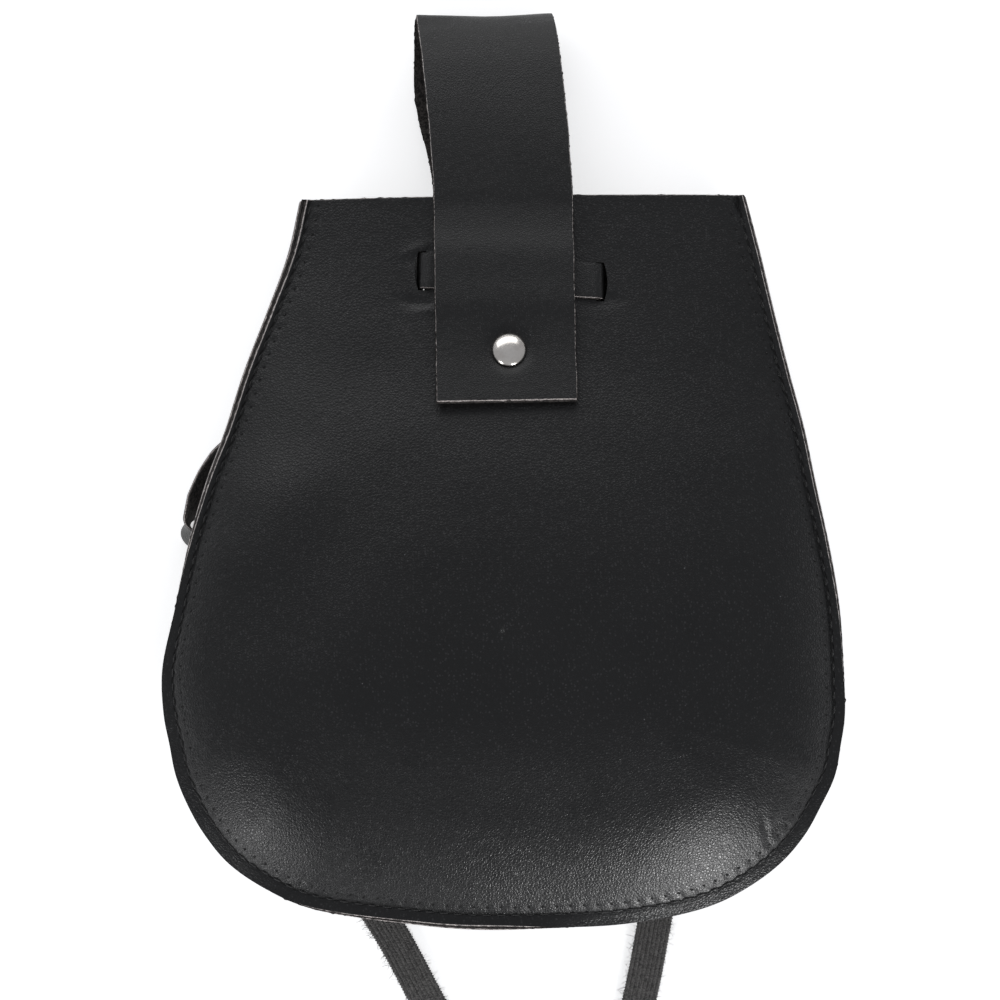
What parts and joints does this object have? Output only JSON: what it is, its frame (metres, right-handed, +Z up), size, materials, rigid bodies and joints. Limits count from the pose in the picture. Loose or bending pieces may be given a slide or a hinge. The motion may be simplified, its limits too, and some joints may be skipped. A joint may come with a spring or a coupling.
{
  "type": "belt pouch",
  "caption": "Teardrop-shaped black leather belt pouch lying face down, with a riveted belt loop on its back, a threaded closure strip and two flat tapes.",
  "frame": {"origin": "on the surface the pouch lies on, under the middle of the pouch without its tapes", "axes": "+Z up out of the surface and out of the pouch's back, +Y from the round lower edge towards the mouth and the belt loop, +X to the right of the back as seen from above"},
  "size_m": [0.1914, 0.2936, 0.0388],
  "materials": {
    "leather": "fine pebble grain, satin",
    "strap_leather": "fine grain, satin, raw cut edges",
    "nickel": "polished nickel",
    "webbing": "flat woven tape with lengthwise ribs"
  },
  "bodies": {
    "root": {"back_panel": "leather", "front_panel": "leather", "belt_strap": "strap_leather", "rivet": "nickel", "closure_strip": "leather", "tape_left": "webbing", "tape_right": "webbing"}
  },
  "joints": []
}
